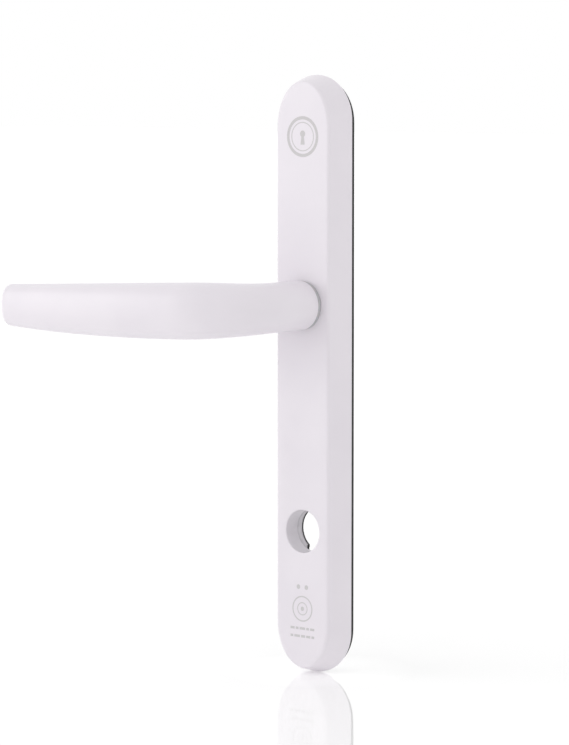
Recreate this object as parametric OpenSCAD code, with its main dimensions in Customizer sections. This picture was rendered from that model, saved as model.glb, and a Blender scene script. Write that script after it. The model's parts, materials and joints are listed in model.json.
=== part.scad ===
// Sprung lever door handle on a long backplate, with a hole for a euro profile cylinder.
// Origin: on the spindle axis, in the door face. +Z is up, -Y points away from the door,
// and the lever points to -X. "Depth" below is the distance in front of the door face.

/* [Backplate] */
// Width of the backplate
plate_w = 36; // [34:0.5:40]
// Top of the backplate above the spindle
plate_top = 92.5; // [88:0.5:110]
// Bottom of the backplate below the spindle
plate_bottom = 150.5; // [146:0.5:165]
// Front of the backplate in front of the door face
plate_depth = 11; // [10.8:0.1:12]
// Radius of the edge between the front face and the sloping side
edge_r = 2; // [1.2:0.1:2.4]
// Slope of the side, from the front face's own direction to the side's normal
side_angle = 63; // [58:1:72]
// Height of the upright lip at the back of the side
lip_h = 0.8; // [0.4:0.1:1.2]
// How much of the side's inset the front face keeps at the ends
end_inset = 0.55; // [0.3:0.05:1]
// How much earlier the front face starts to curve in, as a share of the side's inset
end_shift = 0.7; // [0:0.05:0.8]
// Thickness of the rubber gasket
gasket_t = 1.4; // [1.2:0.1:1.6]

/* [Lock] */
// Spindle centre to cylinder centre
lock_centres = 92; // [92:0.5:94]
// Diameter of the round cylinder hole
cylinder_d = 17.5; // [17.3:0.1:17.9]
// Shape of the hole in the front face: round outside the door, euro inside it
front_hole = "round"; // [round, euro]
// Distance between the two fixing posts
fixing_centres = 215; // [211:0.5:215]
// Top fixing post above the spindle
fixing_top = 78.5; // [76:0.5:79]
// Length of each fixing post behind the door face
post_reach = 8; // [4:1:14]

/* [Lever] */
// Reach of the lever from the spindle to its tip
lever_reach = 128; // [110:1:140]
// Diameter of the lever's neck
neck_d = 20; // [19.8:0.1:22]
// Depth at which the neck starts to bend
elbow_depth = 26; // [25:0.5:34]
// Centreline radius of the elbow
elbow_r = 20; // [18:1:26]
// Centreline radius of the shoulder between the elbow and the grip
shoulder_r = 50; // [30:5:70]
// Greatest height of the grip
grip_h = 22.8; // [18:0.2:25]
// Height of the grip at its tip
tip_h = 17.2; // [14:0.1:20]
// Thickness of the grip where it is highest
grip_t = 14; // [12:0.5:17]
// Thickness of the grip at its tip
tip_t = 10; // [9:0.5:12]
// Drop of the grip's centreline from the spindle to the tip
tip_drop = 3.5; // [0:0.1:8]
// Side of the square spindle socket
socket_w = 8.1; // [8.05:0.05:8.2]

/* [Hidden] */
$fn = 64;

// Overlap of joined solids, and how far a root or a cut runs past a face
eps = 0.01;
past = 1;

// Backplate casting
end_r = plate_w / 2;
face_t = 2.6;
wall_t = 2.2;
ceiling = plate_depth - face_t;
casting_back = gasket_t;
side_run = tan(90 - side_angle);
side_top = casting_back + lip_h;
face_corner = end_r - (plate_depth - side_top) * side_run;
edge_centre_x = face_corner - edge_r * tan(side_angle / 2);
wall_run = wall_t / sin(side_angle);
edge_steps = 8;
end_steps = 24;
hole_chamfer = 0.4;

// Stack behind the casting's face, as depths
support_t = 1.2;
support_front = casting_back + support_t;
cover_back = 1.8;
disc_back = 2.8;
disc_front = 3.9;
guard_back = casting_back;
guard_front = 3.9;
washer_back = 1.15;
washer_front = 1.7;
wave_back = 0.8;
clip_back = 0;
clip_front = 0.75;
journal_end = -0.6;
neck_base = plate_depth + 1.7;
flange_front = plate_depth + 1.6;
stops_back = disc_front + 0.3;
flat_end = disc_front + 0.1;

// Lever bearing
journal_r = 8;
journal_flat = 7.2;
groove_r = 7.45;
bush_r = 8.9;
bush_flange_r = 9.8;
bush_back = 4.6;
running_gap = 0.05;
sleeve_r = 6.5;
sleeve_front = 29.4;
flat_cut = 4;
thrust_r = 10.2;
wave_r = 9.8;
circlip_r = 9.6;
circlip_mouth = 5;
cassette_r = bush_flange_r + 1.2;
ear_r = 3.5;

// Centring spring
wire_r = 0.65;
coil_r = 9.9;
spring_front = 7.45;
spring_back = 4.7;
spring_turns = 2;
leg_gap = 0.05;
leg_end = 14.1;
leg_straight = 0.3;
bend_r = 1.4;
bend_steps = 4;
pin_r = 0.9;
pin_z = 11.9;
pin_front = ceiling + 1.2;
disc_r = bush_flange_r + 0.8;
lug_inner = 13.05;
lug_outer = 14.05;
lug_half = 0.9;
lug_tab_half = 2;
lug_front = ceiling - 0.4;
stop_angle = 55;
stop_r = 1.1;
stop_out = 13.4;

// Cylinder opening
cyl_z = -lock_centres;
hole_r = cylinder_d / 2;
hole_boss_r = 11.2;
slot_half = 5.3;
slot_drop = 24.7;
guard_half = 12;
collar_r = hole_r + 0.8;
collar_back = 0.2;
guard_ends = [8, -16];
window_gap = 0.3;
slot_gap = 0.1;
collar_gap = 0.2;

// Clearances round what passes through the gasket and the support plate
gasket_side = 0.15;
gasket_end = 1;
gasket_window = 1;
gasket_gap = 0.4;
support_gap = 0.2;
cover_gap = 0.4;
cover_bore_r = journal_r + 0.3;

// Fasteners
screw_r = 1.45;
pilot_r = 1.5;
screw_hole_r = pilot_r + 0.1;
head_r = 2.6;
head_t = 1.1;
boss_r = 3;
screw_tip = 7.4;
pilot_end = screw_tip + 0.3;
support_screw_z = [60, 30, -40, cyl_z - 33.5];
guard_screws_xz = [[0, cyl_z + 15.5], [8.6, cyl_z - 18], [-8.6, cyl_z - 18]];
cover_screw_z = [17.5, -17.5];
post_z = [fixing_top, fixing_top - fixing_centres];
post_r = 4.5;
post_flange_r = 6.4;
post_flange_t = 1.6;
post_spigot = 7.4;
post_pocket_end = post_spigot + 0.2;
post_boss_r = 7;
post_thread_r = 2.1;
post_thread_end = 6;

// Lever grip
neck_r = neck_d / 2;
neck_end = 24;
neck_step = 0.05;
neck_lead = 0.2;
headings = [0, 55, 84, 97];
shoulder_end = elbow_r * (cos(headings[1]) - 1)
    + shoulder_r * (cos(headings[2]) - cos(headings[1]));
bow_r = (lever_reach + shoulder_end) / (cos(headings[2]) - cos(headings[3]));
bend_radii = [elbow_r, shoulder_r, bow_r];
arc_rings = [7, 5, 14];
ring_sides = 28;
swell_at = 0.27;
squareness = 0.5;
taper_power = 1.8;
tip_round = 3.5;
tip_fullness = 0.8;
tip_steps = 5;

// ---- Helpers -------------------------------------------------------------

// Points on an arc, angles in degrees from the first axis
function arc(centre, r, from, to, steps) =
    [for (i = [0 : steps]) let (a = from + (to - from) * i / steps)
        [centre[0] + r * cos(a), centre[1] + r * sin(a)]];

function smooth(t) = t * t * (3 - 2 * t);
function unit(v) = v / norm(v);

// Extrudes a shape drawn in X and Z between two depths
module slab(back, front) {
    translate([0, -back, 0]) rotate([90, 0, 0]) linear_extrude(front - back) children();
}

// A round bar along Y between two depths
module rod(r, back, front, x = 0, z = 0) {
    translate([x, -back, z]) rotate([90, 0, 0]) cylinder(r = r, h = front - back);
}

// Revolves a profile of radius and depth about Y
module turned(angle = 360) {
    rotate([90, 0, 0]) rotate_extrude(angle = angle) children();
}

// A stadium outline along Z, from one end's centre to the other's
module stadium(half, z_top, z_bottom) {
    translate([0, z_top]) circle(half);
    translate([0, z_bottom]) circle(half);
    translate([-half, z_bottom]) square([2 * half, z_top - z_bottom]);
}

// The euro profile: a round barrel with a narrower leg below it
module euro_outline(grow) {
    translate([0, cyl_z]) circle(hole_r + grow);
    translate([0, cyl_z - slot_drop + slot_half]) circle(slot_half + grow);
    translate([-slot_half - grow, cyl_z - slot_drop + slot_half])
        square([2 * (slot_half + grow), slot_drop - slot_half]);
}

// A solid with a straight middle and two round ends, from a profile of radius and depth
module long_body(points) {
    mirrored = [for (i = [len(points) - 1 : -1 : 0]) [-points[i][0], points[i][1]]];
    both = [for (p = concat(points, mirrored)) [p[0], -p[1]]];
    translate([0, 0, -plate_bottom + end_r])
        linear_extrude(plate_top + plate_bottom - 2 * end_r) polygon(both);
    translate([0, 0, plate_top - end_r]) turned(180) polygon(points);
    translate([0, 0, -plate_bottom + end_r]) rotate([0, 180, 0]) turned(180) polygon(points);
}

// Pan head screws along Y, with the heads behind
module pan_screws(places, seat) {
    for (p = places) {
        rod(head_r, seat - head_t, seat, p[0], p[1]);
        rod(screw_r, seat - eps, screw_tip, p[0], p[1]);
    }
}

// A round tube swept along points that never run parallel to Y
module wire(path, r, sides) {
    last = len(path) - 1;
    rings = [for (i = [0 : last]) let (
        t = unit(path[min(i + 1, last)] - path[max(i - 1, 0)]),
        u = unit(cross(t, [0, 1, 0])),
        v = cross(u, t)
    ) each [for (k = [0 : sides - 1]) path[i] + r * (cos(360 * k / sides) * u
        + sin(360 * k / sides) * v)]];
    skin(rings, len(path), sides);
}

// Closes a list of rings into one solid
module skin(points, rings, sides) {
    walls = [for (i = [0 : rings - 2], k = [0 : sides - 1]) let (
        a = i * sides + k,
        b = i * sides + (k + 1) % sides
    ) each [[a, b, a + sides], [b, b + sides, a + sides]]];
    first = [for (k = [sides - 1 : -1 : 0]) k];
    final = [for (k = [0 : sides - 1]) (rings - 1) * sides + k];
    polyhedron(points, concat(walls, [first, final]), convexity = 6);
}

// ---- Backplate and what is fixed to it -------------------------------------

outer_profile = concat(
    [[end_r, casting_back], [end_r, side_top]],
    arc([edge_centre_x, plate_depth - edge_r], edge_r, 90 - side_angle, 90, edge_steps)
);

// One outline of the casting: its ends grow taller than round as the side leans in
function outline(r, depth) = let (
    inset = end_r - r,
    rise = end_r + (end_shift - end_inset) * inset,
    middle = [end_r - plate_bottom, plate_top - end_r]
) [for (end = [0, 1], i = [0 : end_steps]) let (
    a = -180 * (end + i / end_steps),
    centre_z = middle[end] + (1 - 2 * end) * end_shift * inset
) [r * cos(a), -depth, centre_z + rise * sin(a)]];

module casting_outside() {
    skin([for (p = outer_profile) each outline(p[0], p[1])],
        len(outer_profile), 2 * (end_steps + 1));
}

cavity_profile = [
    [0, casting_back - past],
    [end_r - wall_run, casting_back - past],
    [end_r - wall_run, side_top],
    [end_r - wall_run - (ceiling - side_top) * side_run, ceiling],
    [0, ceiling]
];

module front_opening() {
    if (front_hole == "euro") {
        slab(guard_front - past, plate_depth + past) euro_outline(0);
    } else {
        rod(hole_r, guard_front - past, plate_depth + past, 0, cyl_z);
        translate([0, 0, cyl_z]) turned() polygon([
            [0, plate_depth - hole_chamfer],
            [hole_r, plate_depth - hole_chamfer],
            [hole_r + 2 * hole_chamfer, plate_depth + hole_chamfer],
            [0, plate_depth + hole_chamfer]
        ]);
    }
}

module cast_bosses() {
    root = ceiling + past;
    rod(hole_boss_r, guard_front, root, 0, cyl_z);
    if (front_hole == "euro")
        slab(guard_front, root) euro_outline(hole_boss_r - hole_r);
    for (z = support_screw_z) rod(boss_r, support_front, root, 0, z);
    for (p = guard_screws_xz) rod(boss_r, guard_front, root, p[0], p[1]);
    for (z = cover_screw_z) rod(boss_r, support_front, root, 0, z);
    for (z = post_z) rod(post_boss_r, support_front + post_flange_t, root, 0, z);
    for (side = [-1, 1])
        rod(stop_r, stops_back, root,
            side * stop_out * sin(stop_angle), stop_out * cos(stop_angle));
}

module cast_holes() {
    rod(bush_r, ceiling - past, plate_depth + past);
    rod(pin_r, ceiling - past, pin_front, 0, pin_z);
    front_opening();
    for (z = support_screw_z) rod(pilot_r, support_front - past, pilot_end, 0, z);
    for (p = guard_screws_xz) rod(pilot_r, guard_front - past, pilot_end, p[0], p[1]);
    for (z = cover_screw_z) rod(pilot_r, support_front - past, pilot_end, 0, z);
    for (z = post_z) rod(post_r + running_gap, support_front, post_pocket_end, 0, z);
}

module backplate() {
    color("white") difference() {
        union() {
            difference() {
                casting_outside();
                long_body(cavity_profile);
            }
            cast_bosses();
        }
        cast_holes();
    }
}

// Openings behind the casting: cassette, screw heads and posts
module rear_openings(grow) {
    circle(cassette_r + grow);
    translate([-ear_r - grow, cover_screw_z[1]])
        square([2 * (ear_r + grow), cover_screw_z[0] - cover_screw_z[1]]);
    for (z = cover_screw_z) translate([0, z]) circle(ear_r + grow);
}

module gasket() {
    color("black") slab(0, gasket_t) difference() {
        half = end_r - gasket_side;
        stadium(half, plate_top - gasket_end - half, -plate_bottom + gasket_end + half);
        rear_openings(gasket_window);
        euro_outline(collar_gap);
        translate([0, cyl_z]) circle(collar_r + collar_gap);
        for (z = support_screw_z) translate([0, z]) circle(head_r + gasket_gap);
        for (p = guard_screws_xz) translate(p) circle(head_r + gasket_gap);
        for (z = post_z) translate([0, z]) circle(post_r + gasket_gap);
    }
}

module support_plate() {
    color("silver") slab(casting_back, support_front) difference() {
        half = end_r - wall_run - support_gap;
        stadium(half, plate_top - end_r, -plate_bottom + end_r);
        rear_openings(cover_gap);
        stadium(guard_half + window_gap, cyl_z + guard_ends[0], cyl_z + guard_ends[1]);
        for (z = support_screw_z) translate([0, z]) circle(screw_hole_r);
        for (z = post_z) translate([0, z]) circle(post_r + support_gap);
    }
}

module support_screws() {
    color("silver") pan_screws([for (z = support_screw_z) [0, z]], casting_back);
}

// A plate round the cylinder, with a collar through the gasket to the door
module cylinder_guard() {
    color("gray") difference() {
        union() {
            slab(guard_back, guard_front)
                stadium(guard_half, cyl_z + guard_ends[0], cyl_z + guard_ends[1]);
            rod(collar_r, collar_back, guard_back + eps, 0, cyl_z);
        }
        slab(collar_back - past, guard_front + past) euro_outline(slot_gap);
        for (p = guard_screws_xz)
            rod(screw_hole_r, guard_back - past, guard_front + past, p[0], p[1]);
    }
}

module guard_screws() {
    color("silver") pan_screws(guard_screws_xz, guard_back);
}

// A threaded post with a flange held between the casting and the support plate
module fixing_post(z) {
    color("silver") difference() {
        union() {
            rod(post_r, -post_reach, post_spigot, 0, z);
            rod(post_flange_r, support_front, support_front + post_flange_t, 0, z);
        }
        rod(post_thread_r, -post_reach - past, post_thread_end, 0, z);
    }
}

module fixing_post_top() {
    fixing_post(post_z[0]);
}

module fixing_post_bottom() {
    fixing_post(post_z[1]);
}

// ---- Lever bearing and centring spring -------------------------------------

module lever_bush() {
    color("gainsboro") difference() {
        union() {
            rod(bush_r, bush_back, flange_front);
            rod(bush_flange_r, plate_depth, flange_front);
        }
        rod(journal_r + running_gap, bush_back - past, flange_front + past);
    }
}

module spring_stop_pin() {
    color("silver") rod(pin_r, stops_back, pin_front, 0, pin_z);
}

leg_x = pin_r + wire_r + leg_gap;
coil_start = asin((leg_x + bend_r) / coil_r);
bend_z = coil_r * cos(coil_start) + bend_r;
coil_turn = 360 * spring_turns - 2 * coil_start;
coil_steps = 20 * spring_turns;

function spring_leg(side, depth) = concat(
    [[side * leg_x, -depth, leg_end], [side * leg_x, -depth, bend_z + leg_straight]],
    [for (i = [0 : bend_steps - 1]) let (a = 90 * i / bend_steps)
        [side * (leg_x + bend_r - bend_r * cos(a)), -depth, bend_z - bend_r * sin(a)]]
);

function spring_coil() = [for (i = [0 : coil_steps]) let (
    part = i / coil_steps,
    a = coil_start + coil_turn * part,
    depth = spring_front + (spring_back - spring_front) * part
) [-coil_r * sin(a), -depth, coil_r * cos(a)]];

function reversed(list) = [for (i = [len(list) - 1 : -1 : 0]) list[i]];

module return_spring() {
    color("dimgray") wire(concat(
        spring_leg(-1, spring_front),
        spring_coil(),
        reversed(spring_leg(1, spring_back))
    ), wire_r, 8);
}

module spring_cover() {
    color("silver") slab(cover_back, support_front) difference() {
        rear_openings(0);
        circle(cover_bore_r);
        for (z = cover_screw_z) translate([0, z]) circle(screw_hole_r);
    }
}

module cover_screws() {
    color("silver") pan_screws([for (z = cover_screw_z) [0, z]], cover_back);
}

// ---- Lever and what turns with it -------------------------------------------

// The centreline's arcs, in X and depth: how far a turn moves it, where an arc starts,
// and the lengths along one arc and before it
function turn(i, a) = bend_radii[i] * [cos(a) - cos(headings[i]), sin(a) - sin(headings[i])];
function arc_start(i) = i == 0 ? [0, elbow_depth] : arc_start(i - 1) + turn(i - 1, headings[i]);
function length_on(i, a) = bend_radii[i] * (a - headings[i]) * PI / 180;
function length_before(i) = i == 0 ? 0 : length_before(i - 1) + length_on(i - 1, headings[i]);

// One ring of the lever, at a heading on an arc: inset shrinks it all round, as at the tip
function ring(i, a, inset) = let (
    c = arc_start(i) + turn(i, a),
    part = (length_before(i) + length_on(i, a)) / length_before(len(bend_radii)),
    swell = smooth(min(part / swell_at, 1)),
    along = max(0, (part - swell_at) / (1 - swell_at)),
    height = neck_d + (grip_h - neck_d) * swell + (tip_h - grip_h) * pow(along, taper_power),
    thick = neck_d + (grip_t - neck_d) * swell + (tip_t - grip_t) * along,
    power = 2 / (2 + squareness * swell),
    drop = tip_drop * sin(90 * part)
) [for (k = [0 : ring_sides - 1]) let (
    b = -360 * k / ring_sides,
    up = (height / 2 - inset) * sign(sin(b)) * pow(abs(sin(b)), power),
    out = (thick / 2 - inset) * sign(cos(b)) * pow(abs(cos(b)), power)
) [c[0] + out * cos(a), -(c[1] + out * sin(a)), up - drop]];

function neck_ring(depth, r) = [for (k = [0 : ring_sides - 1]) let (a = -360 * k / ring_sides)
    [0, -depth, 0] + r * [cos(a), 0, sin(a)]];

module grip() {
    tip_heading = function (back) headings[3] - back / bow_r * 180 / PI;
    rings = concat(
        neck_ring(neck_end - past, neck_r - neck_step),
        neck_ring(neck_end + neck_lead, neck_r - neck_step),
        [for (i = [0 : 2], j = [0 : arc_rings[i] - 1])
            each ring(i, headings[i] + (headings[i + 1] - headings[i]) * j / arc_rings[i], 0)],
        [for (i = [0 : tip_steps]) let (a = 90 * i / tip_steps) each ring(
            2, tip_heading(tip_round * (1 - sin(a))), tip_round * (1 - cos(a)) * tip_fullness)]
    );
    skin(rings, len(rings) / ring_sides, ring_sides);
}

module lever() {
    color("white") difference() {
        union() {
            rod(neck_r, neck_base, neck_end);
            rod(journal_r, journal_end, neck_base + eps);
            grip();
        }
        rod(sleeve_r, journal_end - past, sleeve_front);
        for (side = [-1, 1])
            translate([side * (journal_flat + flat_cut / 2), 0, 0])
                slab(journal_end - past, flat_end) square([flat_cut, 2 * journal_r], center = true);
        turned() polygon([
            [groove_r, clip_back - running_gap],
            [journal_r + past, clip_back - running_gap],
            [journal_r + past, clip_front + running_gap],
            [groove_r, clip_front + running_gap]
        ]);
    }
}

clip_slot = [socket_w / 2 - 1, socket_w / 2 + 0.8];
clip_reach = [3, 24];
clip_half = 1.8;
clip_t = 0.3;
clip_bow = 0.45;
clip_gap = 0.2;
clip_steps = 10;

module spindle_sleeve() {
    color("silver") difference() {
        rod(sleeve_r, journal_end, sleeve_front);
        slab(journal_end - past, sleeve_front + past) square(socket_w, center = true);
        translate([clip_slot[0], -clip_reach[1], -clip_half - clip_gap])
            cube([clip_slot[1] - clip_slot[0], clip_reach[1] - clip_reach[0],
                2 * (clip_half + clip_gap)]);
    }
}

// A bowed leaf in the slot beside the socket, which grips the spindle
module spindle_clip() {
    span = clip_reach[1] - clip_reach[0] - 2 * clip_gap;
    back = clip_slot[1] - 2 * eps;
    bow = [for (i = [0 : clip_steps]) let (u = i / clip_steps)
        [back - clip_bow * 4 * u * (1 - u), clip_reach[0] + clip_gap + span * u]];
    inner = [for (p = reversed(bow)) p - [clip_t, 0]];
    color("dimgray") translate([0, 0, -clip_half]) linear_extrude(2 * clip_half)
        polygon([for (p = concat(bow, inner)) [p[0], -p[1]]]);
}

module journal_outline(grow) {
    intersection() {
        circle(journal_r + grow);
        square([2 * (journal_flat + grow), 3 * journal_r], center = true);
    }
}

module drive_disc() {
    color("silver") union() {
        slab(disc_back, disc_front) difference() {
            union() {
                circle(disc_r);
                translate([-lug_tab_half, 0]) square([2 * lug_tab_half, lug_outer]);
            }
            journal_outline(running_gap);
        }
        slab(disc_front - eps, lug_front)
            translate([-lug_half, lug_inner]) square([2 * lug_half, lug_outer - lug_inner]);
    }
}

module washer(back, front, r) {
    slab(back, front) difference() {
        circle(r);
        circle(journal_r + running_gap);
    }
}

module thrust_washer() {
    color("gainsboro") washer(washer_back, washer_front, thrust_r);
}

module wave_washer() {
    color("dimgray") washer(wave_back, washer_back, wave_r);
}

// A retaining ring with an open mouth below
module circlip() {
    color("dimgray") slab(clip_back, clip_front) difference() {
        circle(circlip_r);
        circle(groove_r + 2 * eps);
        translate([-circlip_mouth / 2, -circlip_r - past]) square([circlip_mouth, circlip_r + past]);
    }
}

backplate();
gasket();
support_plate();
support_screws();
cylinder_guard();
guard_screws();
fixing_post_top();
fixing_post_bottom();
lever_bush();
spring_stop_pin();
return_spring();
spring_cover();
cover_screws();
lever();
spindle_sleeve();
spindle_clip();
drive_disc();
thrust_washer();
wave_washer();
circlip();
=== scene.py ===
"""A white lever door handle on a long backplate, seen from its front right on a glossy white floor.

Lengths are in metres. "Depth" is the distance in front of the door face, so a depth is minus a Y."""

import json
import math

import bmesh
import bpy
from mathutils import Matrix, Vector


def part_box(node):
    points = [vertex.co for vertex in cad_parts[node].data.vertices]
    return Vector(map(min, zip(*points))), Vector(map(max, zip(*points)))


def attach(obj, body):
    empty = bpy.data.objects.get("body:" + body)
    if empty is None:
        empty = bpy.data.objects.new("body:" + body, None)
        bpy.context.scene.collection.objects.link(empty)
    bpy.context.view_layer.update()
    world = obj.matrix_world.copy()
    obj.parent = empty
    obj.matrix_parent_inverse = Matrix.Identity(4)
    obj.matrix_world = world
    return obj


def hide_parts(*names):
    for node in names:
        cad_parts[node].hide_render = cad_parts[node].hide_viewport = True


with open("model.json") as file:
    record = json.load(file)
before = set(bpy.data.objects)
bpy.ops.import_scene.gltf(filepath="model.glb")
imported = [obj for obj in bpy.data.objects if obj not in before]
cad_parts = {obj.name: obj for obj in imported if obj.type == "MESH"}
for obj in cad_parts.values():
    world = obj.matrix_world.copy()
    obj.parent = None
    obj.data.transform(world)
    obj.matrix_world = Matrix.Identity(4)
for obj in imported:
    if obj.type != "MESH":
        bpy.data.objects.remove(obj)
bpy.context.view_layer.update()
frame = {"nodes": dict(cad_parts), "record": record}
nodes = frame["nodes"]

MM = 0.001
TURN = 2 * math.pi

# Sizes that the frame gives
plate_lo, plate_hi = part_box("backplate")
END_R = plate_hi.x
PLATE_FRONT = -plate_lo.y
PLATE_BACK = -plate_hi.y
TOP_CENTRE = plate_hi.z - END_R
BOTTOM_CENTRE = plate_lo.z + END_R
MOUNTS = {m["name"]: m for m in frame["record"]["mounts"]}
CYL_Z = MOUNTS["cylinder_hole"]["pos_m"][2]
HOLE_R = MOUNTS["cylinder_hole"]["dims"]["r_mm"] * MM
GUARD_FRONT = -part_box("cylinder_guard")[0].y
GUARD_BACK = PLATE_BACK
SUPPORT_FRONT = -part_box("support_plate")[0].y
COVER_BACK = -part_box("spring_cover")[1].y
BUSH_FRONT = -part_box("lever_bush")[0].y

# Places of the screws, in X and Z
SUPPORT_SCREWS = [(0, 60 * MM), (0, 30 * MM), (0, -40 * MM), (0, CYL_Z - 33.5 * MM)]
COVER_SCREWS = [(0, 17.5 * MM), (0, -17.5 * MM)]
GUARD_SCREWS = [(0, CYL_Z + 15.5 * MM), (8.6 * MM, CYL_Z - 18 * MM), (-8.6 * MM, CYL_Z - 18 * MM)]


# ---- Mesh helpers ----------------------------------------------------------


def link(name, mesh, body, material):
    """Makes a mesh into a piece that rides on a body and takes its finish from a slot."""
    piece = bpy.data.objects.new(name, mesh)
    bpy.context.scene.collection.objects.link(piece)
    mesh.materials.append(material)
    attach(piece, body)
    return piece


def to_mesh(bm, name, sharp_deg=40):
    """Turns a bmesh into a mesh with smooth faces, and sharp edges where it really folds."""
    bmesh.ops.recalc_face_normals(bm, faces=bm.faces)
    for face in bm.faces:
        face.smooth = True
    for edge in bm.edges:
        if len(edge.link_faces) == 2:
            edge.smooth = edge.calc_face_angle() < math.radians(sharp_deg)
    mesh = bpy.data.meshes.new(name)
    bm.to_mesh(mesh)
    bm.free()
    return mesh


def add_ring(bm, points):
    """New vertices at the points, in their order."""
    return [bm.verts.new(p) for p in points]


def join_rings(bm, rings):
    """Faces between one ring of vertices and the next; all rings have the same number."""
    faces = []
    for a, b in zip(rings, rings[1:]):
        for i in range(len(a)):
            j = (i + 1) % len(a)
            faces.append(bm.faces.new((a[i], a[j], b[j], b[i])))
    return faces


def loop_edges(bm, ring):
    """The edges round a ring of vertices."""
    return [bm.edges.get((ring[i], ring[(i + 1) % len(ring)])) for i in range(len(ring))]


def fill_between(bm, *rings):
    """Fills a flat face between an outer ring and the rings inside it."""
    edges = [edge for ring in rings for edge in loop_edges(bm, ring)]
    bmesh.ops.triangle_fill(bm, edges=edges, use_beauty=True)


def circle(x, z, r, depth, sides):
    """Points round a circle that faces along Y."""
    return [
        Vector((x + r * math.cos(TURN * i / sides), -depth, z + r * math.sin(TURN * i / sides)))
        for i in range(sides)
    ]


END_STEPS = 48


def outline(r, depth, rise=None, shift=0.0):
    """Two straight sides joined by half ellipses: r wide, rise tall, their centres shifted inwards."""
    rise = rise or r
    points = []
    for start, centre_z in ((0, TOP_CENTRE - shift), (math.pi, BOTTOM_CENTRE + shift)):
        for i in range(END_STEPS + 1):
            a = start + math.pi * i / END_STEPS
            points.append(Vector((r * math.cos(a), -depth, centre_z + rise * math.sin(a))))
    return points


def arc(centre, r, start_deg, end_deg, steps):
    """Points along an arc, as pairs measured along the two axes that its centre is given in."""
    return [
        (
            centre[0] + r * math.cos(math.radians(start_deg + (end_deg - start_deg) * i / steps)),
            centre[1] + r * math.sin(math.radians(start_deg + (end_deg - start_deg) * i / steps)),
        )
        for i in range(steps + 1)
    ]


# ---- Materials -------------------------------------------------------------


def shader(name, color, metallic, roughness):
    """A new material and the few nodes that each of the finishes builds on."""
    material = bpy.data.materials.new(name)
    material.use_nodes = True
    tree = material.node_tree
    bsdf = tree.nodes["Principled BSDF"]
    bsdf.inputs["Base Color"].default_value = (*color, 1)
    bsdf.inputs["Metallic"].default_value = metallic
    bsdf.inputs["Roughness"].default_value = roughness
    where = tree.nodes.new("ShaderNodeTexCoord").outputs["Object"]
    return material, tree, bsdf, where


def noise(tree, where, scale, detail=3, stretch=(1, 1, 1)):
    """Noise whose scale counts features per metre, optionally stretched along an axis."""
    mapping = tree.nodes.new("ShaderNodeMapping")
    mapping.inputs["Scale"].default_value = stretch
    texture = tree.nodes.new("ShaderNodeTexNoise")
    texture.inputs["Scale"].default_value = scale
    texture.inputs["Detail"].default_value = detail
    tree.links.new(where, mapping.inputs["Vector"])
    tree.links.new(mapping.outputs["Vector"], texture.inputs["Vector"])
    return texture.outputs["Fac"]


def ramp(tree, fac, low, high, low_at=0.3, high_at=0.7):
    """A factor turned into a colour, from low at low_at to high at high_at."""
    node = tree.nodes.new("ShaderNodeValToRGB")
    node.color_ramp.elements[0].position = low_at
    node.color_ramp.elements[1].position = high_at
    node.color_ramp.elements[0].color = (*low, 1)
    node.color_ramp.elements[1].color = (*high, 1)
    tree.links.new(fac, node.inputs["Fac"])
    return node.outputs["Color"]


def spread(tree, fac, low, high):
    """A factor from 0 to 1, mapped onto low to high."""
    node = tree.nodes.new("ShaderNodeMapRange")
    node.inputs["To Min"].default_value = low
    node.inputs["To Max"].default_value = high
    tree.links.new(fac, node.inputs["Value"])
    return node.outputs["Result"]


def bump(tree, bsdf, height, distance, strength=1.0):
    """Shades a height as relief; distance is what a height of 1 stands for, in metres."""
    node = tree.nodes.new("ShaderNodeBump")
    node.inputs["Distance"].default_value = distance
    node.inputs["Strength"].default_value = strength
    tree.links.new(height, node.inputs["Height"])
    tree.links.new(node.outputs["Normal"], bsdf.inputs["Normal"])


PEEL_SCALE = 900


def powder_coat(name, low, high):
    """White polyester powder: a fine orange peel, a faint unevenness in the white."""
    material, tree, bsdf, where = shader(name, high, metallic=0, roughness=0.4)
    cloud = noise(tree, where, scale=40, detail=2)
    tree.links.new(ramp(tree, cloud, low, high), bsdf.inputs["Base Color"])
    peel = noise(tree, where, PEEL_SCALE, detail=2)
    tree.links.new(spread(tree, peel, 0.34, 0.46), bsdf.inputs["Roughness"])
    bump(tree, bsdf, peel, distance=0.00003, strength=0.35)
    bsdf.inputs["Specular IOR Level"].default_value = 0.45
    bsdf.inputs["Coat Weight"].default_value = 0.15
    bsdf.inputs["Coat Roughness"].default_value = 0.25
    return material


def rubber():
    """Black moulded rubber, matt and fine grained, with a little dust."""
    black, dusty = (0.01, 0.01, 0.011), (0.03, 0.03, 0.031)
    material, tree, bsdf, where = shader("gasket_rubber", black, metallic=0, roughness=0.7)
    dust = noise(tree, where, scale=300, detail=5)
    tree.links.new(ramp(tree, dust, black, dusty), bsdf.inputs["Base Color"])
    tree.links.new(spread(tree, dust, 0.6, 0.85), bsdf.inputs["Roughness"])
    bump(tree, bsdf, noise(tree, where, scale=2500), distance=0.00005, strength=0.5)
    return material


def steel(name, dark, light, rough):
    """Steel with a fine grain, drawn out along Y and Z, and a cloudier surface film."""
    material, tree, bsdf, where = shader(name, light, metallic=1, roughness=rough)
    film = noise(tree, where, scale=120, detail=5)
    tree.links.new(ramp(tree, film, dark, light), bsdf.inputs["Base Color"])
    grain = noise(tree, where, scale=2200, stretch=(12, 1, 1))
    tree.links.new(spread(tree, grain, rough - 0.08, rough + 0.12), bsdf.inputs["Roughness"])
    bump(tree, bsdf, grain, distance=0.00001, strength=0.4)
    return material


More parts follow.
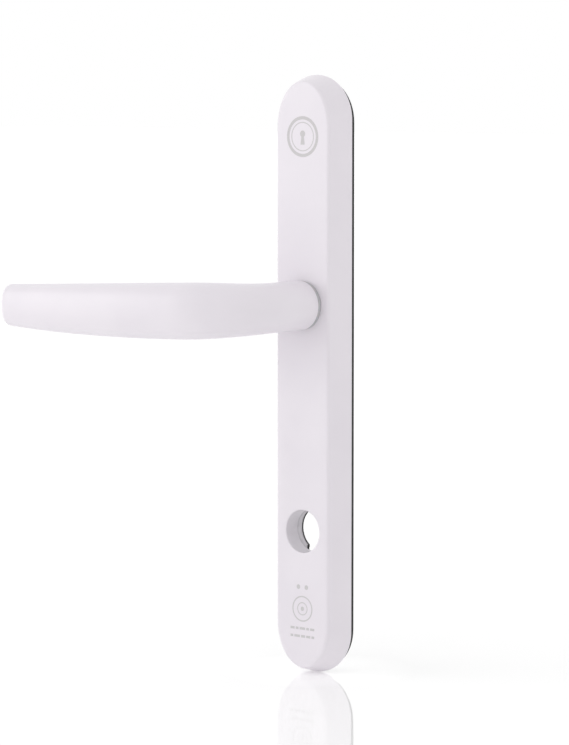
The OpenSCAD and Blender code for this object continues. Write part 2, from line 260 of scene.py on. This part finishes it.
def nylon():
    """Pale grey moulded nylon, slightly translucent."""
    dark, light = (0.46, 0.46, 0.47), (0.52, 0.52, 0.53)
    material, tree, bsdf, where = shader("nylon", light, metallic=0, roughness=0.5)
    cloud = noise(tree, where, scale=200)
    tree.links.new(ramp(tree, cloud, dark, light), bsdf.inputs["Base Color"])
    grain = noise(tree, where, scale=3000, detail=2)
    tree.links.new(spread(tree, grain, 0.42, 0.58), bsdf.inputs["Roughness"])
    bump(tree, bsdf, grain, distance=0.00002, strength=0.4)
    bsdf.inputs["Subsurface Weight"].default_value = 0.1
    bsdf.inputs["Subsurface Scale"].default_value = 0.001
    return material


def ink():
    """Pad printed pale grey, a little broken over the powder's peel."""
    dark, light = (0.55, 0.53, 0.54), (0.63, 0.61, 0.62)
    material, tree, bsdf, where = shader("print_ink", light, metallic=0, roughness=0.5)
    speckle = noise(tree, where, scale=3000)
    tree.links.new(ramp(tree, speckle, dark, light), bsdf.inputs["Base Color"])
    peel = noise(tree, where, PEEL_SCALE, detail=2)
    tree.links.new(spread(tree, peel, 0.45, 0.6), bsdf.inputs["Roughness"])
    return material


# The wall of the cylinder hole gets a greyer copy of the powder, as painted shade in that recess
MATERIALS = {
    "powder_coat": powder_coat("powder_coat", (0.79, 0.75, 0.8), (0.815, 0.775, 0.822)),
    "bore_shade_powder": powder_coat("bore_shade_powder", (0.68, 0.65, 0.69), (0.73, 0.7, 0.74)),
    "gasket_rubber": rubber(),
    "zinc_plated_steel": steel("zinc_plated_steel", (0.5, 0.51, 0.53), (0.66, 0.67, 0.69), 0.32),
    "hardened_steel": steel("hardened_steel", (0.46, 0.44, 0.47), (0.56, 0.54, 0.57), 0.42),
    "spring_steel": steel("spring_steel", (0.16, 0.16, 0.17), (0.25, 0.25, 0.26), 0.3),
    "nylon": nylon(),
    "print_ink": ink(),
}
SLOT_OF = {s["node"]: s["material_slot"] for s in frame["record"]["subparts"]}

for node_name, node in nodes.items():
    node.data.materials.clear()
    node.data.materials.append(MATERIALS[SLOT_OF[node_name]])


# ---- Backplate -------------------------------------------------------------

FACE_T = 2.6 * MM
WALL_T = 2.2 * MM
EDGE_R = 2.0 * MM
BACK_LIP_H = 0.8 * MM
BACK_LIP_R = 0.25 * MM
BACK_LIP_BEND = 0.3 * MM
BACK_LIP_EASE = 0.03 * MM
SIDE_ANGLE = math.radians(63)
SIDE_RUN = 1 / math.tan(SIDE_ANGLE)
RIM_R = 0.4 * MM
END_INSET = 0.55
END_SHIFT = 0.7
CEILING = PLATE_FRONT - FACE_T
BUSH_R = 8.9 * MM
HOLE_BOSS_R = 11.2 * MM
SCREW_BOSS_R = 3 * MM
PILOT_R = 1.5 * MM
PILOT_END = 7.7 * MM
POST_BOSS_R = 7 * MM
POST_POCKET_R = 4.55 * MM
POST_POCKET_END = 7.6 * MM
POST_BOSS_BACK = 4.2 * MM
BOSS_CHAMFER = 0.2 * MM
FILLET = 0.3 * MM
BACK_LIP_STEPS = 4
EDGE_STEPS = 14
RIM_STEPS = 6
BORE_SIDES = 96
HOLE_SIDES = 128
BOSS_SIDES = 40


def outer_profile():
    """Half width and depth, from the back of the side to the front face."""
    side_top = PLATE_BACK + BACK_LIP_H
    corner = END_R - (PLATE_FRONT - side_top) * SIDE_RUN
    centre_x = corner - EDGE_R * math.tan(SIDE_ANGLE / 2)
    lip = arc((END_R - BACK_LIP_R, PLATE_BACK + BACK_LIP_R), BACK_LIP_R, -90, 0, BACK_LIP_STEPS)
    side = [
        (END_R, side_top - BACK_LIP_BEND),
        (END_R - BACK_LIP_EASE, side_top),
        (END_R - BACK_LIP_BEND * SIDE_RUN, side_top + BACK_LIP_BEND),
    ]
    edge_start = 90 - math.degrees(SIDE_ANGLE)
    edge = arc((centre_x, PLATE_FRONT - EDGE_R), EDGE_R, edge_start, 90, EDGE_STEPS)
    return lip + side + edge


def outer_ring(r, depth):
    """One outline of the casting: its ends grow taller than round as the side leans in."""
    inset = END_R - r
    return outline(r, depth, END_R + (END_SHIFT - END_INSET) * inset, END_SHIFT * inset)


def boss(bm, x, z, r, back, pocket_r, pocket_end):
    """A round boss on the ceiling, with a blind hole in it; returns its ring on the ceiling."""
    profile = [(r, CEILING), (r, back + BOSS_CHAMFER), (r - BOSS_CHAMFER, back), (pocket_r, back),
               (pocket_r, pocket_end)]
    rings = [add_ring(bm, circle(x, z, ring_r, depth, BOSS_SIDES)) for ring_r, depth in profile]
    join_rings(bm, rings)
    bm.faces.new(rings[-1])
    return rings[0]


# Slot of the greyer powder that paints shade on the cylinder hole's wall
BORE_SHADE_SLOT = 1


def make_backplate():
    """The casting: its outside, the cavity behind, the two openings and the bosses."""
    bm = bmesh.new()
    side_rings = [add_ring(bm, outer_ring(r, depth)) for r, depth in outer_profile()]
    join_rings(bm, side_rings)

    inner_r = END_R - WALL_T / math.sin(SIDE_ANGLE)
    side_top = PLATE_BACK + BACK_LIP_H
    ceiling_r = inner_r - (CEILING - side_top) * SIDE_RUN
    inner = [(inner_r, PLATE_BACK), (inner_r, side_top), (ceiling_r + FILLET, CEILING - 2 * FILLET),
             (ceiling_r, CEILING)]
    inner_rings = [add_ring(bm, outline(r, depth)) for r, depth in inner]
    join_rings(bm, [side_rings[0], *inner_rings])

    # The bore for the bush, and the round hole for the cylinder with its boss
    bore = [add_ring(bm, circle(0, 0, BUSH_R, depth, BORE_SIDES)) for depth in (PLATE_FRONT, CEILING)]
    join_rings(bm, bore)
    rim = arc((HOLE_R + RIM_R, PLATE_FRONT - RIM_R), RIM_R, 90, 180, RIM_STEPS)
    wall = [*rim, (HOLE_R, GUARD_FRONT), (HOLE_BOSS_R, GUARD_FRONT), (HOLE_BOSS_R, CEILING)]
    hole = [add_ring(bm, circle(0, CYL_Z, r, depth, HOLE_SIDES)) for r, depth in wall]
    join_rings(bm, hole[:len(rim)])
    # The hole's wall behind its rim takes the greyer powder: painted shade
    for face in join_rings(bm, hole[len(rim) - 1:]):
        face.material_index = BORE_SHADE_SLOT

    feet = []
    for x, z in SUPPORT_SCREWS + COVER_SCREWS:
        feet.append(boss(bm, x, z, SCREW_BOSS_R, SUPPORT_FRONT, PILOT_R, PILOT_END))
    for x, z in GUARD_SCREWS:
        feet.append(boss(bm, x, z, SCREW_BOSS_R, GUARD_FRONT, PILOT_R, PILOT_END))
    for name in ("fixing_thread_top", "fixing_thread_bottom"):
        z = MOUNTS[name]["pos_m"][2]
        feet.append(boss(bm, 0, z, POST_BOSS_R, POST_BOSS_BACK, POST_POCKET_R, POST_POCKET_END))

    fill_between(bm, side_rings[-1], bore[0], hole[0])
    fill_between(bm, inner_rings[-1], bore[1], hole[-1], *feet)
    return to_mesh(bm, "backplate_casting", sharp_deg=32)


backplate = link("backplate_casting", make_backplate(), "plate",
                 MATERIALS["powder_coat"])
backplate.data.materials.append(MATERIALS["bore_shade_powder"])
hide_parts("backplate")


# ---- Lever -----------------------------------------------------------------

NECK_R = 10 * MM
NECK_BASE = BUSH_FRONT + 0.1 * MM
JOURNAL_R = 8 * MM
JOURNAL_FLAT = 7.2 * MM
JOURNAL_END = -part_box("lever")[1].y
FLAT_END = 4.0 * MM
GROOVE_R = 7.45 * MM
GROOVE = (-0.05 * MM, 0.8 * MM)
BORE_R = 6.5 * MM
BORE_END = 29.4 * MM
ELBOW_DEPTH = 26 * MM

# Each arc's radius and the heading it ends with, then the heading at the tip
ELBOW = (20 * MM, math.radians(55))
SHOULDER = (50 * MM, math.radians(84))
TIP_HEADING = math.radians(97)

# Where along the lever it is highest, as a share, and how its outline changes
SWELL_AT = 0.27
SQUARENESS = 0.5
TAPER_POWER = 1.8
TIP_FULLNESS = 0.8
NECK_D = 2 * NECK_R
GRIP_H = 22.8 * MM
TIP_H = 17.2 * MM
GRIP_T = 14 * MM
TIP_T = 10 * MM
TIP_DROP = 3.5 * MM
TIP_R = 3.5 * MM
REACH = 128 * MM

# Small edges, and how finely the lever is made
NECK_EDGE_R = 0.4 * MM
JOURNAL_EDGE = 0.25 * MM
BORE_EDGE = 0.2 * MM
FLAT_EDGE = 0.1 * MM
FLAT_STEP = 0.01 * MM
LEVER_SIDES = 72
LEVER_RINGS = 90
TIP_RINGS = 10
NECK_RINGS = 6
NECK_EDGE_STEPS = 5


def lever_arcs():
    """The centreline's arcs, from the elbow to the tip: radius, headings, start in X and depth."""
    arcs = []
    start, x, depth = 0.0, 0.0, ELBOW_DEPTH
    for r, end in (ELBOW, SHOULDER, (None, TIP_HEADING)):
        r = r or (REACH + x) / (math.cos(start) - math.cos(end))
        arcs.append((r, start, end, x, depth))
        x += r * (math.cos(end) - math.cos(start))
        depth += r * (math.sin(end) - math.sin(start))
        start = end
    return arcs


ARCS = lever_arcs()
LENGTH = sum(r * (end - start) for r, start, end, _, _ in ARCS)


def lever_point(s):
    """X, depth and heading of the centreline at a length s from the elbow's start."""
    for r, start, end, x, depth in ARCS:
        a = start + s / r
        if a <= end:
            break
        s -= r * (end - start)
    return x + r * (math.cos(a) - math.cos(start)), depth + r * (math.sin(a) - math.sin(start)), a


def smooth(t):
    """Eases t from 0 to 1, level at both ends."""
    return t * t * (3 - 2 * t)


def lever_ring(s, inset=0.0):
    """One outline across the lever: it swells beyond the neck, and tapers to the tip."""
    x, depth, a = lever_point(s)
    swell = smooth(min(s / LENGTH / SWELL_AT, 1))
    along = max(0, (s / LENGTH - SWELL_AT) / (1 - SWELL_AT))
    height = NECK_D + (GRIP_H - NECK_D) * swell + (TIP_H - GRIP_H) * along**TAPER_POWER
    thick = NECK_D + (GRIP_T - NECK_D) * swell + (TIP_T - GRIP_T) * along
    power = 2 / (2 + SQUARENESS * swell)
    drop = TIP_DROP * math.sin(math.pi / 2 * s / LENGTH)
    points = []
    for k in range(LEVER_SIDES):
        b = TURN * k / LEVER_SIDES
        up = (height / 2 - inset) * math.copysign(abs(math.sin(b)) ** power, math.sin(b))
        out = (thick / 2 - inset) * math.copysign(abs(math.cos(b)) ** power, math.cos(b))
        points.append(Vector((x + out * math.cos(a), -(depth + out * math.sin(a)), up - drop)))
    return points


def journal_ring(depth, r, flat=None):
    """A round outline about the spindle's axis, cut to two flats where flat is given."""
    points = circle(0, 0, r, depth, LEVER_SIDES)
    if flat:
        for p in points:
            p.x = max(-flat, min(flat, p.x))
    return points


def make_lever():
    """One skin from the floor of the sleeve's bore, over the journal and the neck, to the tip."""
    bm = bmesh.new()
    flat = JOURNAL_FLAT
    rings = [
        journal_ring(BORE_END, BORE_R),
        journal_ring(JOURNAL_END + BORE_EDGE, BORE_R),
        journal_ring(JOURNAL_END, BORE_R + BORE_EDGE),
        journal_ring(JOURNAL_END, JOURNAL_R - JOURNAL_EDGE, flat - FLAT_EDGE),
        journal_ring(JOURNAL_END + JOURNAL_EDGE, JOURNAL_R, flat),
        journal_ring(GROOVE[0], JOURNAL_R, flat),
        journal_ring(GROOVE[0], GROOVE_R, flat),
        journal_ring(GROOVE[1], GROOVE_R, flat),
        journal_ring(GROOVE[1], JOURNAL_R, flat),
        journal_ring(FLAT_END, JOURNAL_R, flat),
        journal_ring(FLAT_END + FLAT_STEP, JOURNAL_R),
        journal_ring(NECK_BASE, JOURNAL_R),
    ]
    edge_centre = (NECK_R - NECK_EDGE_R, NECK_BASE + NECK_EDGE_R)
    edge = arc(edge_centre, NECK_EDGE_R, -90, 0, NECK_EDGE_STEPS)
    rings += [journal_ring(depth, r) for r, depth in edge]
    neck_step = (ELBOW_DEPTH - NECK_BASE) / NECK_RINGS
    rings += [journal_ring(NECK_BASE + neck_step * i, NECK_R) for i in range(1, NECK_RINGS)]
    rings += [lever_ring((LENGTH - TIP_R) * i / LEVER_RINGS) for i in range(LEVER_RINGS + 1)]
    for i in range(1, TIP_RINGS + 1):
        a = math.pi / 2 * i / TIP_RINGS
        inset = TIP_R * (1 - math.cos(a)) * TIP_FULLNESS
        rings.append(lever_ring(LENGTH - TIP_R * (1 - math.sin(a)), inset))
    made = [add_ring(bm, ring) for ring in rings]
    join_rings(bm, made)
    bm.faces.new(made[0])
    bm.faces.new(made[-1])
    # On the flats' middle lines, the rings beside the groove share a vertex
    bmesh.ops.remove_doubles(bm, verts=bm.verts, dist=0.001 * MM)
    return to_mesh(bm, "lever_casting", sharp_deg=50)


lever = link("lever_casting", make_lever(), "lever", MATERIALS["powder_coat"])
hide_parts("lever")


# ---- Printed marks ---------------------------------------------------------

PRINT_T = 0.02 * MM
PRINT_GAP = 0.005 * MM
PRINT_BACK = PLATE_FRONT + PRINT_GAP
PRINT_SIDES = 96
DOT_SIDES = 32
BADGE_Z = 67.8 * MM
DOTS_Z = -114.8 * MM
DOTS_APART = 4.2 * MM
TARGET_Z = -123.7 * MM
ROW_W = 12.6 * MM
ROW_H = 1.0 * MM
ROW_GAP = 0.6 * MM

# The heights of the rows of blocks, and the widths of the blocks in proportion
ROWS = {
    -131.8 * MM: (3, 2, 4, 2, 3),
    -135.0 * MM: (2, 4, 3, 3, 2),
}


def printed_ring(bm, x, z, outer_r, inner_r=0.0):
    """A flat printed ring, or a dot where inner_r is 0, on the plate's face."""
    front = PRINT_BACK + PRINT_T
    sides = PRINT_SIDES if inner_r else DOT_SIDES
    shape = [(outer_r, PRINT_BACK), (outer_r, front)]
    if inner_r:
        shape += [(inner_r, front), (inner_r, PRINT_BACK)]
    rings = [add_ring(bm, circle(x, z, r, depth, sides)) for r, depth in shape]
    if inner_r:
        join_rings(bm, [*rings, rings[0]])
    else:
        join_rings(bm, rings)
        bm.faces.new(rings[0])
        bm.faces.new(rings[1])


def printed_outline(bm, points):
    """A flat printed shape from its outline in X and Z."""
    rings = [
        add_ring(bm, [Vector((x, -depth, z)) for x, z in points])
        for depth in (PRINT_BACK, PRINT_BACK + PRINT_T)
    ]
    join_rings(bm, rings)
    bm.faces.new(rings[0])
    bm.faces.new(rings[1])


def keyhole(z, size):
    """A plain keyhole: most of a circle above a flared slot, whose foot is size below z."""
    foot_half, head_up, head_r, head_from, head_to = 0.34, 0.35, 0.42, -60, 240
    foot = [(-foot_half * size, z - size), (foot_half * size, z - size)]
    head_arc = arc((0, 0), head_r, head_from, head_to, DOT_SIDES)
    return foot + [(x * size, z + (head_up + y) * size) for x, y in head_arc]


def row_of_blocks(bm, z, shares):
    """A row of plain blocks across the plate, whose widths are in proportion to shares."""
    unit = (ROW_W - ROW_GAP * (len(shares) - 1)) / sum(shares)
    low, high = z - ROW_H / 2, z + ROW_H / 2
    x = -ROW_W / 2
    for share in shares:
        end = x + share * unit
        printed_outline(bm, [(x, low), (end, low), (end, high), (x, high)])
        x = end + ROW_GAP


def make_marks():
    """Generic marks: a keyhole badge above, and a target, two dots and rows of blocks below."""
    bm = bmesh.new()
    printed_ring(bm, 0, BADGE_Z, outer_r=8.2 * MM, inner_r=6.9 * MM)
    printed_ring(bm, 0, BADGE_Z, outer_r=5.9 * MM, inner_r=5.5 * MM)
    printed_outline(bm, keyhole(BADGE_Z, size=3.2 * MM))
    for side in (-1, 1):
        printed_ring(bm, side * DOTS_APART / 2, DOTS_Z, outer_r=0.95 * MM)
    printed_ring(bm, 0, TARGET_Z, outer_r=5.3 * MM, inner_r=4.75 * MM)
    printed_ring(bm, 0, TARGET_Z, outer_r=2.7 * MM, inner_r=2.3 * MM)
    printed_ring(bm, 0, TARGET_Z, outer_r=0.9 * MM)
    for z, shares in ROWS.items():
        row_of_blocks(bm, z, shares)
    return to_mesh(bm, "printed_marks")


link("printed_marks", make_marks(), "plate", MATERIALS["print_ink"])


# ---- Gasket lip --------------------------------------------------------------

# The lip over the guard's collar, and the lining on the slot's sides: how deep they lie, and how
# far outwards from the guard's opening
LIP_BACK = 0.02 * MM
LIP_FRONT = 0.6 * MM
LIP_INNER = -0.09 * MM
LIP_OUTER = -0.01 * MM
RIM_FRONT = 0.18 * MM
LIP_RIM = 0.9 * MM
LINING_RIM = 0.08 * MM
LINING_LEAD = 0.1 * MM
LINING_FRONT = GUARD_BACK - LIP_BACK
LINING_END = CYL_Z - 8.05 * MM
COLLAR_BORE_R = HOLE_R + 0.1 * MM
SLOT_HALF = 5.4 * MM
LIP_STEPS = 72


def lip_section(front, rim):
    """The L shape of the lip or its lining: pairs of an offset and a depth."""
    return [
        (LIP_INNER, LIP_BACK),
        (LIP_INNER, front),
        (LIP_OUTER, front),
        (LIP_OUTER, RIM_FRONT),
        (rim, RIM_FRONT),
        (rim, LIP_BACK),
    ]


def lip_ring(section, share):
    """A ring of the lip, at a share of its way round the bore from one side of the slot to the other."""
    points = []
    for offset, depth in section:
        r = COLLAR_BORE_R + offset
        slot = math.asin((SLOT_HALF + offset) / r)
        a = slot - math.pi / 2 + (TURN - 2 * slot) * share
        points.append((r * math.cos(a), -depth, CYL_Z + r * math.sin(a)))
    return points


def lining_ring(section, side, z):
    """A ring of the lining at a height z, on one side of the slot."""
    return [(side * (SLOT_HALF + offset), -depth, z) for offset, depth in section]


def make_gasket_lip():
    """The gasket's lip, which laps over the guard's collar round the cylinder and lines its slot."""
    lip = lip_section(LIP_FRONT, LIP_RIM)
    lining = lip_section(LINING_FRONT, LINING_RIM)
    lining_start = lip_ring(lining, 0)[0][2] - LINING_LEAD
    outlines = [lining_ring(lining, 1, LINING_END), lining_ring(lining, 1, lining_start)]
    outlines += [lip_ring(lip, i / LIP_STEPS) for i in range(LIP_STEPS + 1)]
    outlines += [lining_ring(lining, -1, lining_start), lining_ring(lining, -1, LINING_END)]
    bm = bmesh.new()
    rings = [add_ring(bm, points) for points in outlines]
    join_rings(bm, rings)
    bm.faces.new(rings[0])
    bm.faces.new(rings[-1])
    return to_mesh(bm, "gasket_lip")


link("gasket_lip", make_gasket_lip(), "plate", MATERIALS["gasket_rubber"])


# ---- Screws and fixing posts -------------------------------------------------

SCREW_SIDES = 24
CORE_R = 1.15 * MM
THREAD_H = 0.3 * MM
THREAD_PITCH = 0.8 * MM
RINGS_PER_TURN = 6
SCREW_TIP = -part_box("cover_screws")[0].y
HEAD_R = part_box("cover_screws")[1].x
HEAD_T = 1.1 * MM
HEAD_EDGE = 0.35 * MM
DOME_END = math.radians(50)
CROSS_ARM = 1.3 * MM
CROSS_HALF = 0.3 * MM
CROSS_DEEP = 0.7 * MM
CROSS_FLOOR_ARM = 0.6
CROSS_FLOOR_HALF = 0.7
SCREW_TIP_R = 0.8 * MM
SCREW_TIP_H = 0.4 * MM
HEAD_CHAMFER = 0.1 * MM
DOME_STEPS = 6
POST_SIDES = 48
POST_R = 4.5 * MM
POST_CHAMFER = 0.4 * MM
POST_FLANGE_T = 1.6 * MM
POST_FLANGE_CHAMFER = 0.15 * MM
POST_BORE_END = 6 * MM
POST_THREAD_END = 5.8 * MM
POST_MOUTH_W = 0.8 * MM
POST_MOUTH_H = 0.5 * MM
TURNED_SHARP_DEG = 30


def thread_rings(bm, x, z, core_r, start, end, sides):
    """Rings along a thread, whose radius rises and falls once in each turn and pitch."""
    steps = round(abs(end - start) / THREAD_PITCH * RINGS_PER_TURN)
    rings = []
    for step in range(steps + 1):
        depth = start + (end - start) * step / steps
        points = []
        for i in range(sides):
            share = (depth / THREAD_PITCH + i / sides) % 1
            r = core_r + THREAD_H * (1 - abs(2 * share - 1))
            a = TURN * i / sides
            points.append((x + r * math.cos(a), -depth, z + r * math.sin(a)))
        rings.append(add_ring(bm, points))
    return rings


def cross(x, z, depth, arm, half):
    """The outline of a cross recess: an arm's two corners and an inner one, four times."""
    points = []
    for c, s in ((1, 0), (0, 1), (-1, 0), (0, -1)):
        for u, v in ((arm, -half), (arm, half), (half, half)):
            points.append((x + u * c - v * s, -depth, z + u * s + v * c))
    return points


def screw(bm, x, z, seat):
    """A pan head screw, its domed and cross recessed head behind the seat."""
    rings = [add_ring(bm, circle(x, z, SCREW_TIP_R, SCREW_TIP, SCREW_SIDES))]
    rings += thread_rings(bm, x, z, CORE_R, SCREW_TIP - SCREW_TIP_H, seat, SCREW_SIDES)
    dome = [(HEAD_R - HEAD_CHAMFER, seat), (HEAD_R, seat - HEAD_CHAMFER)]
    for i in range(DOME_STEPS + 1):
        a = DOME_END * i / DOME_STEPS
        rise = math.sin(a) / math.sin(DOME_END)
        dome.append((HEAD_R * math.cos(a), seat - HEAD_EDGE - (HEAD_T - HEAD_EDGE) * rise))
    rings += [add_ring(bm, circle(x, z, r, depth, SCREW_SIDES)) for r, depth in dome]
    join_rings(bm, rings)
    bm.faces.new(rings[0])
    back = seat - HEAD_T
    floor_arm, floor_half = CROSS_ARM * CROSS_FLOOR_ARM, CROSS_HALF * CROSS_FLOOR_HALF
    mouth = add_ring(bm, cross(x, z, back, CROSS_ARM, CROSS_HALF))
    floor = add_ring(bm, cross(x, z, back + CROSS_DEEP, floor_arm, floor_half))
    join_rings(bm, [mouth, floor])
    bm.faces.new(floor)
    fill_between(bm, rings[-1], mouth)


def replace_fastener(node, name, bm):
    """Lets a detailed piece stand in for a CAD node of the plate, in the node's own material."""
    mesh = to_mesh(bm, node, TURNED_SHARP_DEG)
    piece = link(name, mesh, "plate", MATERIALS[SLOT_OF[node]])
    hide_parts(node)


def make_screws(node, places, seat):
    """All the screws of one CAD node, as one piece."""
    bm = bmesh.new()
    for x, z in places:
        screw(bm, x, z, seat)
    replace_fastener(node, node + "_threaded", bm)


def make_post(node, mount):
    """A fixing post with a flange, and a thread up its middle."""
    lo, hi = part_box(node)
    z = mount["pos_m"][2]
    core_r = mount["dims"]["r_mm"] * MM
    back, front = -hi.y, -lo.y
    flange_r, flange_front = hi.x, SUPPORT_FRONT + POST_FLANGE_T
    profile = [
        (core_r + POST_MOUTH_W, back),
        (POST_R - POST_CHAMFER, back),
        (POST_R, back + POST_CHAMFER),
        (POST_R, SUPPORT_FRONT),
        (flange_r - POST_FLANGE_CHAMFER, SUPPORT_FRONT),
        (flange_r, SUPPORT_FRONT + POST_FLANGE_CHAMFER),
        (flange_r, flange_front - POST_FLANGE_CHAMFER),
        (flange_r - POST_FLANGE_CHAMFER, flange_front),
        (POST_R, flange_front),
        (POST_R, front - POST_CHAMFER),
        (POST_R - POST_CHAMFER, front),
    ]
    bm = bmesh.new()
    rings = [add_ring(bm, circle(0, z, core_r, POST_BORE_END, POST_SIDES))]
    rings += thread_rings(bm, 0, z, core_r, POST_THREAD_END, back + POST_MOUTH_H, POST_SIDES)
    rings += [add_ring(bm, circle(0, z, r, depth, POST_SIDES)) for r, depth in profile]
    join_rings(bm, rings)
    bm.faces.new(rings[0])
    bm.faces.new(rings[-1])
    replace_fastener(node, node + "_turned", bm)


make_screws("support_screws", SUPPORT_SCREWS, PLATE_BACK)
make_screws("guard_screws", GUARD_SCREWS, GUARD_BACK)
make_screws("cover_screws", COVER_SCREWS, COVER_BACK)
make_post("fixing_post_top", MOUNTS["fixing_thread_top"])
make_post("fixing_post_bottom", MOUNTS["fixing_thread_bottom"])


# ---- Edges of the CAD nodes that stay ---------------------------------------

# How wide each node's sharp edges are rounded. The clip's thin strip stays as it is, and the
# round wire of the return spring is smoothed further down.
EDGE_WIDTHS = {
    "gasket": 0.2 * MM,
    "support_plate": 0.1 * MM,
    "cylinder_guard": 0.2 * MM,
    "lever_bush": 0.2 * MM,
    "spring_stop_pin": 0.1 * MM,
    "spring_cover": 0.15 * MM,
    "spindle_sleeve": 0.15 * MM,
    "drive_disc": 0.1 * MM,
    "thrust_washer": 0.05 * MM,
    "wave_washer": 0.05 * MM,
    "circlip": 0.1 * MM,
}
WELD_GAP = 0.002 * MM
BEVEL_SEGMENTS = 2
BEVEL_ANGLE = math.radians(40)


def weld(node):
    """Joins the vertices that the CAD mesh splits along its edges."""
    modifier = node.modifiers.new("weld", "WELD")
    modifier.merge_threshold = WELD_GAP


def soften(node, width):
    """Rounds a node's sharp edges, so that they catch light."""
    weld(node)
    bevel = node.modifiers.new("bevel", "BEVEL")
    bevel.width = width
    bevel.segments = BEVEL_SEGMENTS
    bevel.limit_method = "ANGLE"
    bevel.angle_limit = BEVEL_ANGLE
    bevel.harden_normals = True


for node_name, width in EDGE_WIDTHS.items():
    soften(nodes[node_name], width)

weld(nodes["return_spring"])
rounding = nodes["return_spring"].modifiers.new("rounding", "SUBSURF")
rounding.levels = 1
rounding.render_levels = 1


# ---- Floor, light and camera ------------------------------------------------

FLOOR_HALF = 8
# The floor's glow: GLOW_FAR all over, rising to GLOW_NEAR within GLOW_R of the object's foot as a
# painted pool of light
GLOW_R = 0.04
GLOW_FAR = 0.075
GLOW_NEAR = 0.22

CAMERA_AIM = Vector((-0.0093, -0.0113, -0.0278))
CAMERA_AZIMUTH = math.radians(40.5)
CAMERA_TILT = math.radians(5.2)
CAMERA_DISTANCE = 1.4
CAMERA_LENS = 166.8
CAMERA_SENSOR = 36


def make_floor():
    """A glossy white acrylic table, lit through from below, with a painted pool of light round the
    object's foot that fills in its contact shadow.
    """
    bm = bmesh.new()
    low, high = -FLOOR_HALF, FLOOR_HALF
    corners = [(low, low), (high, low), (high, high), (low, high)]
    bm.faces.new([bm.verts.new((x, y, plate_lo.z)) for x, y in corners])
    mesh = bpy.data.meshes.new("floor")
    bm.to_mesh(mesh)
    bm.free()
    floor = bpy.data.objects.new("floor", mesh)
    bpy.context.scene.collection.objects.link(floor)
    white = (0.93, 0.93, 0.93)
    material, tree, bsdf, where = shader("floor_gloss", white, metallic=0, roughness=0.06)
    haze = noise(tree, where, scale=6, detail=2)
    tree.links.new(spread(tree, haze, 0.04, 0.08), bsdf.inputs["Roughness"])
    # Painted light: the glow rises within GLOW_R of the object's foot to fill in its contact shadow
    glow = tree.nodes.new("ShaderNodeTexGradient")
    glow.gradient_type = "SPHERICAL"
    reach = tree.nodes.new("ShaderNodeMapping")
    reach.inputs["Scale"].default_value = (1 / GLOW_R, 1 / GLOW_R, 0)
    tree.links.new(where, reach.inputs["Vector"])
    tree.links.new(reach.outputs["Vector"], glow.inputs["Vector"])
    strength = spread(tree, glow.outputs["Fac"], GLOW_FAR, GLOW_NEAR)
    tree.links.new(strength, bsdf.inputs["Emission Strength"])
    bsdf.inputs["Emission Color"].default_value = (1, 1, 1, 1)
    mesh.materials.append(material)


def area_light(name, place, aim, size, power):
    """A soft rectangular light at a place, turned towards its aim."""
    data = bpy.data.lights.new(name, "AREA")
    data.shape = "RECTANGLE"
    data.size, data.size_y = size
    data.energy = power
    light = bpy.data.objects.new(name, data)
    light.location = place
    light.rotation_euler = (Vector(aim) - Vector(place)).to_track_quat("-Z", "Y").to_euler()
    bpy.context.scene.collection.objects.link(light)


def make_light():
    """A white studio: bright behind and above the object, a little darker in front of it."""
    world = bpy.data.worlds.new("studio")
    world.use_nodes = True
    tree = world.node_tree
    background = tree.nodes["Background"]
    where = tree.nodes.new("ShaderNodeTexCoord").outputs["Generated"]
    split = tree.nodes.new("ShaderNodeSeparateXYZ")
    tree.links.new(where, split.inputs["Vector"])
    front, behind = (0.885, 0.885, 0.885), (1.0, 1.0, 1.0)
    shade = ramp(tree, split.outputs["Y"], front, behind, low_at=-0.3, high_at=0.1)
    tree.links.new(shade, background.inputs["Color"])
    background.inputs["Strength"].default_value = 1.0
    bpy.context.scene.world = world
    area_light("left_softbox", (-1.4, -1.2, 0.0), aim=(-0.05, 0, 0), size=(1.2, 1.6), power=13)
    area_light("right_card", (1.6, -0.3, 0.1), aim=(0, 0, 0), size=(0.8, 1.2), power=0.8)


def make_camera():
    """A long lens, in front of the object on its right and a little above it."""
    away = Vector((
        math.sin(CAMERA_AZIMUTH) * math.cos(CAMERA_TILT),
        -math.cos(CAMERA_AZIMUTH) * math.cos(CAMERA_TILT),
        math.sin(CAMERA_TILT),
    ))
    data = bpy.data.cameras.new("camera")
    data.lens = CAMERA_LENS
    data.sensor_width = CAMERA_SENSOR
    camera = bpy.data.objects.new("camera", data)
    camera.location = CAMERA_AIM + away * CAMERA_DISTANCE
    camera.rotation_euler = (-away).to_track_quat("-Z", "Y").to_euler()
    bpy.context.scene.collection.objects.link(camera)
    bpy.context.scene.camera = camera


make_floor()
make_light()
make_camera()
bpy.context.scene.view_settings.view_transform = "Standard"
